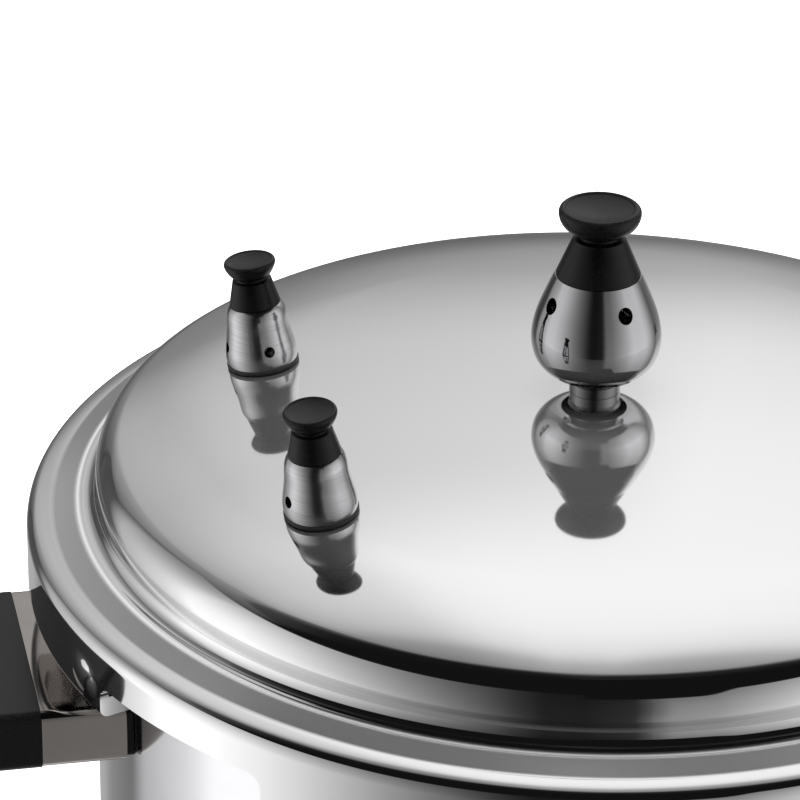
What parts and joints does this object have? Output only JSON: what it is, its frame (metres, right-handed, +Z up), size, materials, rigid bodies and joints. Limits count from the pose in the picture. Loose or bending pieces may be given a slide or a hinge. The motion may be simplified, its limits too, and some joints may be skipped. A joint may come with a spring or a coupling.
{
  "type": "stovetop pressure cooker",
  "caption": "Large polished aluminium stovetop pressure cooker with bayonet lid, central pressure weight, pull-up safety valves, long locking handle and helper handle.",
  "frame": {"origin": "centre of the pot's base, on the surface it stands on", "axes": "+Z up along the pot's axis, +X towards the long handle of the pot, helper handle towards -X"},
  "size_m": [0.613, 0.354, 0.3364],
  "materials": {
    "pot_aluminium": "polished",
    "lid_polished": "mirror polished",
    "rubber": "matt moulded",
    "steel": "turned",
    "weight_chrome": "polished",
    "valve_steel": "turned satin",
    "ferrule_steel": "polished stainless",
    "black_plastic": "satin moulded"
  },
  "bodies": {
    "pot": {"pot_body": "pot_aluminium", "pot_rim": "pot_aluminium", "helper_bracket": "steel", "helper_ferrule": "ferrule_steel", "helper_spacer": "black_plastic", "helper_grip": "black_plastic", "helper_screws": "steel", "lower_bracket": "steel", "lower_ferrule": "ferrule_steel", "lower_spacer": "black_plastic", "lower_handle": "black_plastic", "lower_screws": "steel", "lock_keeper": "steel", "keeper_screw": "steel"},
    "gasket": {"sealing_gasket": "rubber"},
    "lid": {"lid": "lid_polished", "vent_pipe": "steel", "vent_pipe_nut": "steel", "vent_filter": "steel", "upper_bracket": "steel", "upper_ferrule": "ferrule_steel", "upper_spacer": "black_plastic", "upper_handle": "black_plastic", "upper_screws": "steel", "rear_valve_gasket": "rubber", "rear_valve_body": "valve_steel", "rear_valve_nut": "steel", "rear_valve_spring": "steel", "front_valve_gasket": "rubber", "front_valve_body": "valve_steel", "front_valve_nut": "steel", "front_valve_spring": "steel"},
    "weight": {"weight_body": "weight_chrome", "weight_needle": "steel", "weight_knob": "black_plastic"},
    "rear_valve": {"rear_valve_stem": "steel", "rear_valve_knob": "black_plastic"},
    "front_valve": {"front_valve_stem": "steel", "front_valve_knob": "black_plastic"},
    "lock": {"lock_button": "black_plastic", "lock_tongue": "steel", "lock_screw": "steel"}
  },
  "joints": [
    {"name": "lid_lift", "type": "slide", "parent": "pot", "child": "gasket", "axis": [0, 0, 1], "range_m": [0, 0.15]},
    {"name": "lid_turn", "type": "hinge", "parent": "gasket", "child": "lid", "pos_m": [0, 0, 0.24], "axis": [0, 0, -1], "range_deg": [0, 22]},
    {"name": "weight_lift", "type": "slide", "parent": "lid", "child": "weight", "axis": [0, 0, 1], "range_m": [0, 0.024]},
    {"name": "rear_valve_pull", "type": "slide", "parent": "lid", "child": "rear_valve", "axis": [-0.1144, 0.059, 0.9917], "range_m": [0, 0.003], "stiffness_N_per_m": 900, "springref_m": -0.002, "deforming": ["rear_valve_spring"]},
    {"name": "front_valve_pull", "type": "slide", "parent": "lid", "child": "front_valve", "axis": [-0.1136, -0.0606, 0.9917], "range_m": [0, 0.003], "stiffness_N_per_m": 900, "springref_m": -0.002, "deforming": ["front_valve_spring"]},
    {"name": "lock_slide", "type": "slide", "parent": "lid", "child": "lock", "axis": [-0.9272, -0.3746, 0], "range_m": [0, 0.006]}
  ]
}
